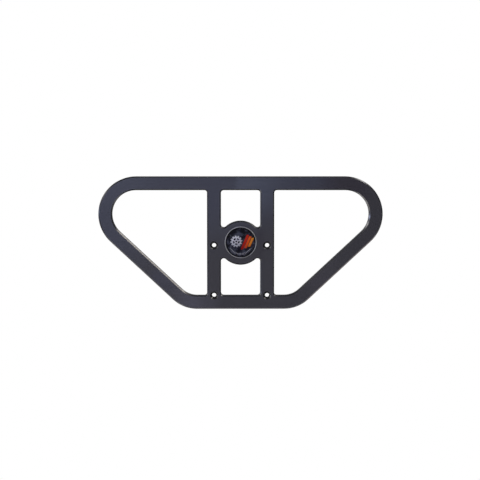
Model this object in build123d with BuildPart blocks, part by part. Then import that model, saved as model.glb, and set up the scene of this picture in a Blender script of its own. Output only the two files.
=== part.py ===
from build123d import *
import math
import os

# ATV front bumper: one flat milled aluminium plate with a round badge.
# The plate stands upright as it is mounted: X across the vehicle, Z up,
# the front face looks along -Y and the rear face lies in the plane y = 0.
# The origin is the centre of the four screw holes, on the rear face.
# All dimensions in millimetres.

# ---- outer ring ----
overall_width = 460.0          # over the two rounded ends
overall_height = 215.0         # top edge to bottom edge
plate_thickness = 12.0
bar_width = 22.2               # width of the outer ring
side_angle = 43.0              # slope of the two lower side bars, degrees
top_corner_radius = 61.0       # outer radius of the two upper ends
bottom_corner_radius = 57.0    # outer radius of the two lower bends

# ---- uprights and hub ----
upright_pitch = 86.2           # centre line to centre line
upright_width = 22.6
hub_radius = 35.7
hub_band_height = 50.3         # solid band between the uprights at the hub
centre_window_radius = 4.75    # milled corners of the two centre windows, at the ring
hub_corner_radius = 4.4        # milled corners of the same windows, beside the hub
side_window_radius = 4.2       # milled corners of the side windows, at the uprights

# ---- screw holes, M6 countersunk ----
screw_hole_diameter = 7.0
countersink_diameter = 13.2
countersink_angle = 90.0
screw_pitch_x = 86.0
screw_pitch_z = 81.3
upper_screw_drop = 4.0         # upper screw holes below the plate's mid height

# ---- edges ----
front_chamfer = 2.0
rear_chamfer = 1.0

# ---- badge, stuck on the flat face of the hub ----
badge_diameter = 51.4
badge_lift = 0.9               # badge centre above the hub centre
badge_base_thickness = 0.8
badge_rim_width = 1.2
badge_rim_height = 0.7         # rim above the printed face
badge_rim_round = 0.3
bond_line = 0.02               # clear film between the print and the cap
dome_edge_height = 0.45        # clear cap at the rim
dome_rise = 1.3                # clear cap at its centre

# ---- derived positions ----
# the plate's mid height above the origin
mid_z = upper_screw_drop + screw_pitch_z / 2
half_height = overall_height / 2
slope = math.radians(side_angle)
top_vertex_x = overall_width / 2 - top_corner_radius + top_corner_radius / math.tan(slope / 2)
bottom_vertex_x = top_vertex_x - overall_height / math.tan(slope)
upright_inner = upright_pitch / 2 - upright_width / 2
upright_outer = upright_pitch / 2 + upright_width / 2
front_y = -plate_thickness
badge_z = mid_z + badge_lift
badge_face_y = front_y - badge_base_thickness
dome_radius = badge_diameter / 2 - badge_rim_width

# Planes seen from the front: local x is +X, local y is +Z, the normal is -Y.
facing_front = dict(x_dir=(1, 0, 0), z_dir=(0, -1, 0))
rear_plane = Plane(origin=(0, 0, mid_z), **facing_front)
badge_seat_plane = Plane(origin=(0, front_y, badge_z), **facing_front)
badge_face_plane = Plane(origin=(0, badge_face_y, badge_z), **facing_front)
screw_plane = Plane(origin=(0, front_y, 0), **facing_front)
# Half section through the badge axis: local x is the radius, local y is +Y.
badge_section = Plane(origin=(0, 0, badge_z), x_dir=(1, 0, 0), z_dir=(0, 0, 1))

os.makedirs("parts", exist_ok=True)


def ring_corners(inset):
    """Four sharp corners of the outline, every side moved in by inset."""
    top, bottom = half_height - inset, -half_height + inset
    side_shift = inset / math.sin(slope)
    x_top = top_vertex_x - side_shift - inset / math.tan(slope)
    x_bottom = bottom_vertex_x - side_shift + inset / math.tan(slope)
    return [(-x_top, top), (x_top, top), (x_bottom, bottom), (-x_bottom, bottom)]


def on_lines(vertices, x):
    """The vertices that lie on the two upright lines x and -x."""
    return [v for v in vertices if abs(abs(v.X) - x) < 0.01]


# ---------------------------------------------------------------- bumper plate
with BuildPart() as bumper_plate:
    # the full outline, with its two round ends and two lower bends
    with BuildSketch(rear_plane) as outline:
        with BuildLine():
            Polyline(*ring_corners(0), close=True)
        make_face()
        fillet(outline.vertices().group_by(Axis.Y)[-1], top_corner_radius)
        fillet(outline.vertices().group_by(Axis.Y)[0], bottom_corner_radius)
    extrude(amount=plate_thickness)

    # the two side windows: the ring's opening outside the uprights
    with BuildSketch(rear_plane) as side_windows:
        with BuildLine():
            Polyline(*ring_corners(bar_width), close=True)
        make_face()
        fillet(side_windows.vertices().group_by(Axis.Y)[-1], top_corner_radius - bar_width)
        fillet(side_windows.vertices().group_by(Axis.Y)[0], bottom_corner_radius - bar_width)
        Rectangle(2 * upright_outer, overall_height, mode=Mode.SUBTRACT)
        fillet(on_lines(side_windows.vertices(), upright_outer), side_window_radius)
    extrude(amount=plate_thickness, mode=Mode.SUBTRACT)

    # the two centre windows: between the uprights, over and under the hub
    with BuildSketch(rear_plane) as centre_windows:
        Rectangle(2 * upright_inner, overall_height - 2 * bar_width)
        Rectangle(2 * upright_inner, hub_band_height, mode=Mode.SUBTRACT)
        Circle(hub_radius, mode=Mode.SUBTRACT)
        at_ring = centre_windows.vertices().filter_by(lambda v: abs(v.Y) > hub_radius)
        fillet(at_ring, centre_window_radius)
        at_hub = centre_windows.vertices().filter_by(lambda v: abs(v.Y) < hub_band_height / 2 + 0.01)
        fillet(at_hub, hub_corner_radius)
    extrude(amount=plate_thickness, mode=Mode.SUBTRACT)

    # broken edges all round the outline and the windows
    chamfer(bumper_plate.faces().sort_by(Axis.Y)[0].edges(), front_chamfer)
    chamfer(bumper_plate.faces().sort_by(Axis.Y)[-1].edges(), rear_chamfer)

    # four countersunk screw holes
    with Locations(screw_plane):
        with GridLocations(screw_pitch_x, screw_pitch_z, 2, 2):
            CounterSinkHole(screw_hole_diameter / 2, countersink_diameter / 2,
                            depth=plate_thickness, counter_sink_angle=countersink_angle)

# ---------------------------------------------------------------- badge
# turned disc with a thin raised rim round its printed face
with BuildPart() as badge_disc:
    with BuildSketch(badge_seat_plane):
        Circle(badge_diameter / 2)
    extrude(amount=badge_base_thickness)
    with BuildSketch(badge_face_plane):
        Circle(badge_diameter / 2)
        Circle(dome_radius, mode=Mode.SUBTRACT)
    extrude(amount=badge_rim_height)
    crest = badge_disc.faces().sort_by(Axis.Y)[0]
    fillet(crest.edges(), badge_rim_round)

# clear resin cap, thickest in the middle, held inside the rim
with BuildPart() as badge_dome:
    with BuildSketch(badge_section) as dome_profile:
        with BuildLine():
            under = badge_face_y - bond_line
            edge = badge_face_y - dome_edge_height
            top = badge_face_y - dome_rise
            Polyline((0, top), (0, under), (dome_radius, under), (dome_radius, edge))
            # crown: an arc that is level at the axis
            crown = (dome_radius ** 2 + (edge - top) ** 2) / (2 * (edge - top))
            half = math.asin(dome_radius / crown) / 2
            middle = (crown * math.sin(half), top + crown * (1 - math.cos(half)))
            ThreePointArc((dome_radius, edge), middle, (0, top))
        make_face()
    revolve(axis=Axis((0, 0, badge_z), (0, 1, 0)))

bumper_plate.part.label = "bumper_plate"
badge_disc.part.label = "badge_disc"
badge_dome.part.label = "badge_dome"

export_step(bumper_plate.part, "parts/bumper_plate.step")
export_step(badge_disc.part, "parts/badge_disc.step")
export_step(badge_dome.part, "parts/badge_dome.step")
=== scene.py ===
import bpy
import math
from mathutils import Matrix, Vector

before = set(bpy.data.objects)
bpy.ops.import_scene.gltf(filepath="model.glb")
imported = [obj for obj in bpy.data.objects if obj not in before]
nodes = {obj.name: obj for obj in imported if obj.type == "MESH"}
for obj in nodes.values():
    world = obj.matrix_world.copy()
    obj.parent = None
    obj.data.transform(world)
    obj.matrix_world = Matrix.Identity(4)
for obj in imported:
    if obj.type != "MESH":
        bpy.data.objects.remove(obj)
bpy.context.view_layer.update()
plate = nodes["bumper_plate"]
disc = nodes["badge_disc"]
dome = nodes["badge_dome"]
scene = bpy.context.scene

# ---- places in the frame, metres ----
HUB_Z = 0.04465            # centre of the hub
BADGE_Z = 0.04555          # centre of the badge, a little above it
FRONT_Y = -0.012           # front face of the plate
RIM_INNER_R = 0.0245       # the printed field ends here, the bare rim starts
SCREW_X, SCREW_Z = 0.0430, 0.04065


# ------------------------------------------------------------ node helpers
class Graph:
    """Adds nodes to a material or world tree and links them in one call."""

    def __init__(self, tree):
        self.tree = tree
        tree.nodes.clear()

    def put(self, socket, value):
        if isinstance(value, bpy.types.NodeSocket):
            self.tree.links.new(value, socket)
        elif value is not None:
            socket.default_value = value

    def node(self, kind, inputs=(), **props):
        n = self.tree.nodes.new(kind)
        for name, value in props.items():
            setattr(n, name, value)
        for key, value in dict(inputs).items():
            self.put(n.inputs[key], value)
        return n

    def math(self, op, a, b=None, c=None, clamp=False):
        n = self.node("ShaderNodeMath", operation=op, use_clamp=clamp)
        for i, value in enumerate((a, b, c)):
            if value is not None:
                self.put(n.inputs[i], value)
        return n.outputs[0]

    def vmath(self, op, a, b=None, out=0):
        n = self.node("ShaderNodeVectorMath", operation=op)
        self.put(n.inputs[0], a)
        if b is not None:
            self.put(n.inputs[3 if op == "SCALE" else 1], b)
        return n.outputs["Value" if op in ("DOT_PRODUCT", "LENGTH", "DISTANCE") else "Vector"]

    def ramp(self, value, lo, hi, out_lo=0.0, out_hi=1.0, kind="SMOOTHSTEP"):
        n = self.node("ShaderNodeMapRange", interpolation_type=kind, clamp=True)
        for key, v in (("Value", value), ("From Min", lo), ("From Max", hi),
                       ("To Min", out_lo), ("To Max", out_hi)):
            self.put(n.inputs[key], v)
        return n.outputs["Result"]

    def mix(self, fac, a, b, blend="MIX", clamp=False):
        n = self.node("ShaderNodeMix", data_type="RGBA", blend_type=blend, clamp_factor=True,
                      clamp_result=clamp)
        self.put(n.inputs[0], fac)
        self.put(n.inputs[6], a)
        self.put(n.inputs[7], b)
        return n.outputs[2]

    def noise(self, vector, scale, detail=2.0, rough=0.5, kind="FBM"):
        n = self.node("ShaderNodeTexNoise", noise_dimensions="3D", noise_type=kind)
        self.put(n.inputs["Vector"], vector)
        n.inputs["Scale"].default_value = scale
        n.inputs["Detail"].default_value = detail
        n.inputs["Roughness"].default_value = rough
        return n.outputs["Fac"]

    def scaled(self, vector, xyz, offset=(0, 0, 0)):
        n = self.node("ShaderNodeMapping", vector_type="POINT")
        self.put(n.inputs["Vector"], vector)
        n.inputs["Scale"].default_value = xyz
        n.inputs["Location"].default_value = offset
        return n.outputs[0]


def rgb(r, g, b):
    return (r, g, b, 1.0)


def new_material(name):
    mat = bpy.data.materials.new(name)
    mat.use_nodes = True
    return mat, Graph(mat.node_tree)


# ------------------------------------------------------------ anodised plate
# Painted highlights (positive colours) and painted shade (negative colours) on the front face: start and softness
# along X, end and softness along X, the same along Z, and what they add to the colour.
PAINTED_HIGHLIGHT_AND_SHADE_PATCHES = (
    (-0.010, 0.006, 0.092, 0.085, 0.074, 0.200, 0.050, (0.0175, 0.0215, 0.0270)),
    (-0.122, 0.027, -0.050, 0.030, -0.100, 0.000, 0.030, (0.013, 0.013, 0.018)),
    (-0.155, 0.020, -0.100, 0.020, -0.045, 0.010, 0.020, (0.004, 0.005, 0.013)),
    (-0.105, 0.030, -0.028, 0.020, -0.100, -0.030, 0.012, (0.008, 0.008, 0.012)),
    (-0.240, 0.020, -0.120, 0.060, 0.100, 0.180, 0.030, (0.006, 0.007, 0.009)),
    (0.090, 0.030, 0.170, 0.030, -0.050, 0.035, 0.030, (0.006, 0.005, 0.006)),
    (0.120, 0.025, 0.215, 0.020, 0.100, 0.170, 0.020, (-0.0060, -0.0075, -0.0055)),
    (0.022, 0.006, 0.042, 0.008, 0.015, 0.075, 0.020, (-0.0060, -0.0070, -0.0060)),
)


def anodised_plate():
    """Black anodised aluminium, brushed along X on its two faces, milled on its walls."""
    mat, g = new_material("plate_black_anodised")
    coords = g.node("ShaderNodeTexCoord").outputs["Object"]
    xyz = g.node("ShaderNodeSeparateXYZ", {"Vector": coords})
    x, z = xyz.outputs["X"], xyz.outputs["Z"]
    geo = g.node("ShaderNodeNewGeometry")
    n = g.node("ShaderNodeSeparateXYZ", {"Vector": geo.outputs["Normal"]})
    ny = g.math("ABSOLUTE", n.outputs["Y"])
    face = g.ramp(ny, 0.90, 0.97)                    # 1 on the two flat faces
    front = g.ramp(n.outputs["Y"], -0.90, -0.97)     # 1 on the front face only
    wall = g.ramp(ny, 0.45, 0.25)                    # 1 on the walls, chamfers are between

    # 1 on the cones of the countersinks; they are painted near black as painted shade in the recess
    dx = g.math("SUBTRACT", g.math("ABSOLUTE", x), SCREW_X)
    dz = g.math("SUBTRACT", g.math("ABSOLUTE", z), SCREW_Z)
    off = g.math("SQRT", g.math("ADD", g.math("MULTIPLY", dx, dx), g.math("MULTIPLY", dz, dz)))
    cone = g.math("MULTIPLY", g.ramp(off, 0.0071, 0.0068), g.math("SUBTRACT", 1.0, face))

    # brushed grain: long fine scratches along X
    fine = g.noise(g.scaled(coords, (28, 400, 4200)), 1.0, 3.0, 0.62)
    long = g.noise(g.scaled(coords, (7, 150, 900), (3.1, 0, 1.7)), 1.0, 2.0, 0.5)
    broad = g.noise(g.scaled(coords, (9, 9, 5), (0.4, 2.2, 5.0)), 1.0, 3.0, 0.55)
    # milled walls: marks of the cutter standing across the thickness
    cut = g.noise(g.scaled(coords, (1500, 60, 1500)), 1.0, 2.0, 0.5)

    grain = g.math("ADD", g.math("MULTIPLY", fine, 0.6), g.math("MULTIPLY", long, 0.4))
    detail = g.math("ADD", g.math("MULTIPLY", face, grain),
                    g.math("MULTIPLY", g.math("SUBTRACT", 1.0, face), cut))

    base = g.mix(g.ramp(broad, 0.35, 0.65), rgb(0.0098, 0.0094, 0.0124), rgb(0.0123, 0.0119, 0.0152))
    # painted cool light: the flat faces are painted bluish towards the upper left, where the cool light from the left
    # falls
    painted_cool_light = g.ramp(g.math("ADD", z, g.math("MULTIPLY", x, -0.28)), 0.02, 0.13)
    painted_cool_light = g.math("MULTIPLY", painted_cool_light, g.ramp(x, 0.110, 0.170, 1.0, 0.0))
    base = g.mix(g.math("MULTIPLY", painted_cool_light, face), base, rgb(0.0020, 0.0058, 0.0170), blend="ADD")
    # painted highlights and painted shade on the front face, drawn out along the grain, with ragged ends
    ragged = g.math("ADD", x, g.math("MULTIPLY", g.math("SUBTRACT", long, 0.5), 0.030))
    for x0, soft0, x1, soft1, z0, z1, soft_z, colour in PAINTED_HIGHLIGHT_AND_SHADE_PATCHES:
        along = g.math("MULTIPLY", g.ramp(ragged, x0, x0 + soft0), g.ramp(ragged, x1 - soft1, x1, 1.0, 0.0))
        across = g.math("MULTIPLY", g.ramp(z, z0, z0 + soft_z), g.ramp(z, z1 - soft_z, z1, 1.0, 0.0))
        painted_patch_mask = g.math("MULTIPLY", g.math("MULTIPLY", along, across), g.ramp(long, 0.30, 0.60, 0.75, 1.15, "LINEAR"))
        base = g.mix(g.math("MULTIPLY", painted_patch_mask, front), base, rgb(*map(abs, colour)),
                     blend="ADD" if min(colour) >= 0 else "SUBTRACT")
    base = g.mix(g.ramp(detail, 0.62, 0.80, 0.0, 0.30), base, rgb(0.030, 0.031, 0.036))
    base = g.mix(face, g.vmath("SCALE", base, 0.65), base)       # cut edges take the dye deeper
    # painted shade: the countersink cones are painted near black
    base = g.mix(cone, base, rgb(0.0010, 0.0010, 0.0014))
    brushed = g.math("ADD", g.ramp(detail, 0.25, 0.75, 0.34, 0.50, "LINEAR"),
                     g.math("MULTIPLY", g.math("SUBTRACT", broad, 0.5), 0.10))
    milled = g.math("ADD", g.ramp(wall, 0.0, 1.0, 0.13, 0.45),
                    g.ramp(cut, 0.25, 0.75, -0.02, 0.04, "LINEAR"))
    milled = g.math("ADD", milled, g.math("MULTIPLY", cone, 0.08))   # left duller by the cutter
    rough = g.math("ADD", g.math("MULTIPLY", face, brushed),
                   g.math("MULTIPLY", g.math("SUBTRACT", 1.0, face), milled))

    bump = g.node("ShaderNodeBump", {"Strength": 0.14, "Distance": 0.00004, "Height": detail})
    tangent = g.node("ShaderNodeTangent", direction_type="RADIAL", axis="X")
    p = g.node("ShaderNodeBsdfPrincipled", {
        "Base Color": base, "Roughness": rough, "Metallic": 0.0, "IOR": 1.62,
        "Anisotropic": 0.8, "Tangent": tangent.outputs[0], "Normal": bump.outputs[0]})
    g.node("ShaderNodeOutputMaterial", {"Surface": p.outputs[0]})
    return mat


# ------------------------------------------------------------ badge
def badge_print():
    """Turned silver rim round a gloss black print with a toothed ring and slanted bars."""
    mat, g = new_material("badge_printed_disc")
    coords = g.node("ShaderNodeTexCoord").outputs["Object"]
    xyz = g.node("ShaderNodeSeparateXYZ", {"Vector": coords})
    x = xyz.outputs["X"]
    z = g.math("SUBTRACT", xyz.outputs["Z"], BADGE_Z)
    r = g.math("SQRT", g.math("ADD", g.math("MULTIPLY", x, x), g.math("MULTIPLY", z, z)))

    edge = 0.00006                                   # softness of a printed edge

    def inside(value, limit):
        """1 where value is under limit."""
        return g.ramp(value, limit - edge, limit + edge, 1.0, 0.0)

    def over(colour, mask, top):
        return g.mix(mask, colour, top)

    def between(value, lo, hi):
        return g.math("MULTIPLY", g.math("SUBTRACT", 1.0, inside(value, lo)), inside(value, hi))

    def polar(cx, cz):
        dx, dz = g.math("SUBTRACT", x, cx), g.math("SUBTRACT", z, cz)
        far = g.math("SQRT", g.math("ADD", g.math("MULTIPLY", dx, dx), g.math("MULTIPLY", dz, dz)))
        return dx, dz, far, g.math("ARCTAN2", dz, dx)

    # black field with faint grey wisps, and a darker ring just inside the rim
    bend = g.noise(g.scaled(coords, (60, 0, 60), (2.0, 0, 7.0)), 1.0, 2.0)
    bent = g.vmath("ADD", coords, g.vmath("SCALE", g.node("ShaderNodeCombineXYZ", {"X": bend, "Z": bend}).outputs[0], 0.012))
    wisp = g.noise(g.scaled(bent, (105, 0, 135), (1.3, 0, 4.0)), 1.0, 3.0, 0.60)
    field = g.mix(g.ramp(wisp, 0.42, 0.62), rgb(0.0080, 0.0080, 0.0160), rgb(0.080, 0.085, 0.118))
    field = over(field, g.ramp(r, 0.0221, 0.0227), rgb(0.0045, 0.0045, 0.0060))

    # spoked cog, left of the middle
    dx, dz, rr, angle = polar(-0.0070, 0.0016)
    teeth = g.math("SINE", g.math("MULTIPLY", angle, 12.0))
    outline = g.ramp(teeth, -0.30, 0.30, 0.0078, 0.0095)
    body = g.ramp(g.math("SUBTRACT", rr, outline), -edge, edge, 1.0, 0.0)
    spoke = g.ramp(g.math("COSINE", g.math("MULTIPLY", g.math("ADD", angle, -1.5708), 5.0)), 0.42, 0.50)
    web = g.math("MULTIPLY", between(rr, 0.0031, 0.0056), g.math("SUBTRACT", 1.0, spoke))
    cog = g.math("MULTIPLY", body, g.math("SUBTRACT", 1.0, web))
    cog = g.math("MULTIPLY", cog, g.math("SUBTRACT", 1.0, inside(rr, 0.0014)))
    light = g.ramp(g.math("ADD", dz, g.math("MULTIPLY", dx, -0.6)), -0.010, 0.010, 0.0, 1.0, "LINEAR")
    silver = g.mix(light, rgb(0.48, 0.48, 0.54), rgb(0.86, 0.86, 0.92))
    art = over(field, cog, silver)

    # three slanted bars, right of the middle, each darker towards its foot
    slant = g.math("SUBTRACT", x, g.math("MULTIPLY", z, 0.42))
    fade = g.ramp(z, -0.012, 0.012, 0.0, 1.0, "LINEAR")
    for i, (foot, head, top, bottom) in enumerate((
            (rgb(0.42, 0.010, 0.010), rgb(0.80, 0.045, 0.020), 0.0122, -0.0112),
            (rgb(0.70, 0.060, 0.010), rgb(0.95, 0.160, 0.025), 0.0100, -0.0092),
            (rgb(0.80, 0.190, 0.015), rgb(0.95, 0.380, 0.050), 0.0074, -0.0068))):
        x0 = 0.0046 + i * 0.0050
        bar = g.math("MULTIPLY", between(slant, x0, x0 + 0.0040), between(z, bottom, top))
        art = over(art, bar, g.mix(fade, foot, head))

    # short light ticks along the lower border
    _, _, far, round_ = polar(0.0, 0.0)
    tick = g.ramp(g.math("COSINE", g.math("MULTIPLY", round_, 48.0)), 0.05, 0.25)
    tick = g.math("MULTIPLY", tick, between(far, 0.0176, 0.0200))
    tick = g.math("MULTIPLY", tick, g.ramp(z, -0.0092, -0.0094, 0.0, 1.0))
    art = over(art, tick, rgb(0.42, 0.42, 0.45))

    rim = g.ramp(r, RIM_INNER_R - 0.0001, RIM_INNER_R)
    turned = g.noise(g.node("ShaderNodeCombineXYZ", {"X": r}).outputs[0], 9000.0, 2.0)
    colour = g.mix(rim, art, rgb(0.50, 0.50, 0.51))
    rough = g.math("ADD", g.math("MULTIPLY", rim, -0.06), g.ramp(turned, 0.3, 0.7, 0.32, 0.38, "LINEAR"))
    bump = g.node("ShaderNodeBump", {"Strength": g.math("MULTIPLY", rim, 0.10), "Distance": 0.00002, "Height": turned})
    p = g.node("ShaderNodeBsdfPrincipled", {
        "Base Color": colour, "Roughness": rough, "Metallic": rim, "IOR": 1.5,
        "Specular IOR Level": 0.0, "Normal": bump.outputs[0]})
    g.node("ShaderNodeOutputMaterial", {"Surface": p.outputs[0]})
    return mat


def clear_resin():
    """Clear cast resin with a faint long-wave unevenness."""
    mat, g = new_material("badge_clear_resin")
    coords = g.node("ShaderNodeTexCoord").outputs["Object"]
    wave = g.noise(g.scaled(coords, (120, 120, 120)), 1.0, 1.0, 0.4)
    bump = g.node("ShaderNodeBump", {"Strength": 0.06, "Distance": 0.0002, "Height": wave})
    p = g.node("ShaderNodeBsdfPrincipled", {
        "Base Color": rgb(1.0, 1.0, 1.0), "Roughness": 0.02, "IOR": 1.49,
        "Transmission Weight": 1.0, "Normal": bump.outputs[0]})
    g.node("ShaderNodeOutputMaterial", {"Surface": p.outputs[0]})
    return mat


for node, material in ((plate, anodised_plate()), (disc, badge_print()), (dome, clear_resin())):
    node.data.materials.clear()
    node.data.materials.append(material)


# ------------------------------------------------------------ floor
FLOOR_Z = -0.62
bpy.ops.mesh.primitive_circle_add(vertices=96, radius=1.0, fill_type="NGON", location=(0, 0, FLOOR_Z))
floor = bpy.context.object
floor.name = "floor"
floor_mat, g = new_material("floor_pale")
speck = g.noise(g.node("ShaderNodeTexCoord").outputs["Object"], 6.0, 2.0)
p = g.node("ShaderNodeBsdfPrincipled", {
    "Base Color": g.mix(speck, rgb(0.78, 0.78, 0.78), rgb(0.84, 0.84, 0.84)), "Roughness": 0.9})
g.node("ShaderNodeOutputMaterial", {"Surface": p.outputs[0]})
floor.data.materials.append(floor_mat)
floor.visible_glossy = False       # mirrored as part of the room's light below instead


# ------------------------------------------------------------ studio light
# Soft boxes: azimuth and elevation as seen from the object (0,0 is straight out of
# the front face, azimuth grows to the right), their half widths in degrees, and colour.
SOFT_BOXES = (
    (-6, 36, 8, 14, (6.9, 6.3, 7.8)),        # main box, high in front
    (-20, 36, 11, 14, (3.0, 3.8, 5.2)),      # cooler light from a window, high on the left
    (-56, 10, 14, 30, (2.6, 2.7, 3.0)),      # two large boxes far to the sides
    (56, 10, 14, 30, (2.4, 2.3, 2.3)),
)
# Lamps out to the sides, near the plane of the plate: only the chamfers and the
# round corners mirror them. Direction, tightness, colour, and for the long thin ones
# how much tighter they are along Y.
EDGE_LAMPS = (
    ((0.68, -0.135, 0.73), 100, (17.5, 16.4, 15.1), 1100),   # sharp line along the left slope
    ((0.50, 0.040, 0.866), 90, (12.0, 11.8, 11.6), 1000),    # glint on the right end, outer bend
    ((0.68, 0.120, -0.73), 100, (1.00, 0.70, 0.64), 200),    # right slope, outer edge
    ((0.50, -0.03, 0.87), 30, (0.9, 0.85, 0.8)),
    ((0.00, 0.05, 1.00), 150, (0.6, 0.6, 0.7)),
    ((-0.87, -0.03, 0.50), 30, (1.2, 1.15, 1.15)),
    ((-0.91, -0.14, 0.39), 150, (6.0, 5.9, 5.7)),        # right end, inner bend
    ((-0.99, -0.16, 0.05), 300, (8.0, 9.0, 12.5)),
    ((-0.94, -0.13, -0.31), 150, (3.2, 3.1, 2.9)),
    ((-0.84, -0.09, -0.53), 150, (3.4, 3.3, 3.1)),
    ((-0.68, -0.06, -0.73), 150, (2.5, 2.4, 2.25)),
    ((-0.48, -0.04, -0.88), 150, (2.8, 2.7, 2.55)),
    ((-0.97, 0.24, 0.05), 200, (7.0, 8.5, 12.0)),        # left end, outer bend
    ((-1.00, -0.03, 0.00), 30, (0.3, 0.3, 0.5)),
    ((0.60, -0.03, -0.80), 25, (0.30, 0.26, 0.25)),
    ((0.87, -0.03, -0.50), 30, (0.60, 0.57, 0.55)),
)
AMBIENT = (0.22, 0.22, 0.23)
BACKDROP = (0.74, 0.74, 0.75)
BOUNCE = (0.62, 0.62, 0.68)


def studio_world():
    """A white room to the camera. The object is lit by the backdrop behind it, soft
    boxes in front and a faint fill. The room is dark just round the camera's place."""
    world = bpy.data.worlds.new("studio")
    world.use_nodes = True
    scene.world = world
    g = Graph(world.node_tree)
    ray = g.node("ShaderNodeTexCoord").outputs["Generated"]
    d = g.node("ShaderNodeSeparateXYZ", {"Vector": ray})
    x, y, z = (d.outputs[k] for k in "XYZ")
    azimuth = g.math("ARCTAN2", x, g.math("MULTIPLY", y, -1.0))
    elevation = g.math("ARCSINE", g.math("MINIMUM", g.math("MAXIMUM", z, -0.9999), 0.9999))

    def box(az, el, w_az, w_el):
        t = g.math("DIVIDE", g.math("SUBTRACT", azimuth, math.radians(az)), math.radians(w_az))
        u = g.math("DIVIDE", g.math("SUBTRACT", elevation, math.radians(el)), math.radians(w_el))
        square = g.math("ADD", g.math("MULTIPLY", t, t), g.math("MULTIPLY", u, u))
        return g.math("EXPONENT", g.math("MULTIPLY", square, -1.0))

    def lamp(towards, tight, across=0.0):
        middle = Vector(towards).normalized()
        near = g.vmath("DOT_PRODUCT", ray, tuple(middle))
        fall = g.math("MULTIPLY", g.math("SUBTRACT", near, 1.0), float(tight))
        if across:
            dy = g.math("SUBTRACT", y, middle.y)
            fall = g.math("ADD", fall, g.math("MULTIPLY", g.math("MULTIPLY", dy, dy), -float(across)))
        return g.math("EXPONENT", fall)

    def add(total, level, colour):
        return g.vmath("ADD", total, g.vmath("SCALE", colour, level))

    dark = g.math("SUBTRACT", 1.0, g.math("MULTIPLY", box(0, -4, 14, 14), 0.9))
    total = g.vmath("SCALE", AMBIENT, dark)
    backdrop = g.math("SUBTRACT", g.ramp(y, 0.20, 0.70), g.ramp(y, 0.60, 0.95, 0.0, 0.70))
    total = add(total, backdrop, BACKDROP)
    total = add(total, g.ramp(z, -0.50, -0.58), BOUNCE)          # the floor, as it mirrors
    for az, el, w_az, w_el, colour in SOFT_BOXES:
        total = add(total, box(az, el, w_az, w_el), colour)
    for towards, tight, colour, *across in EDGE_LAMPS:
        total = add(total, lamp(towards, tight, *across), colour)
    camera_ray = g.node("ShaderNodeLightPath").outputs["Is Camera Ray"]
    colour = g.mix(camera_ray, total, rgb(1.0, 1.0, 1.0))
    b = g.node("ShaderNodeBackground", {"Color": colour, "Strength": 1.0})
    g.node("ShaderNodeOutputWorld", {"Surface": b.outputs[0]})
    return world


studio_world()
scene.view_settings.view_transform = "Standard"
scene.view_settings.look = "None"


# ------------------------------------------------------------ camera
CENTRE = Vector((0.0, FRONT_Y, HUB_Z))
CAM_AZ, CAM_EL, CAM_DIST = math.radians(-0.5), math.radians(4.3), 2.3
eye = CENTRE + CAM_DIST * Vector((math.sin(CAM_AZ) * math.cos(CAM_EL),
                                  -math.cos(CAM_AZ) * math.cos(CAM_EL), math.sin(CAM_EL)))
aim = Vector((-0.00102, FRONT_Y, 0.04940))
camera = bpy.data.objects.new("camera", bpy.data.cameras.new("camera"))
scene.collection.objects.link(camera)
camera.location = eye
camera.rotation_euler = (aim - eye).to_track_quat("-Z", "Y").to_euler()
camera.data.sensor_width = 36.0
camera.data.lens = 36.0 * (eye - aim).length / 0.7766
camera.data.clip_start = 0.01
scene.camera = camera
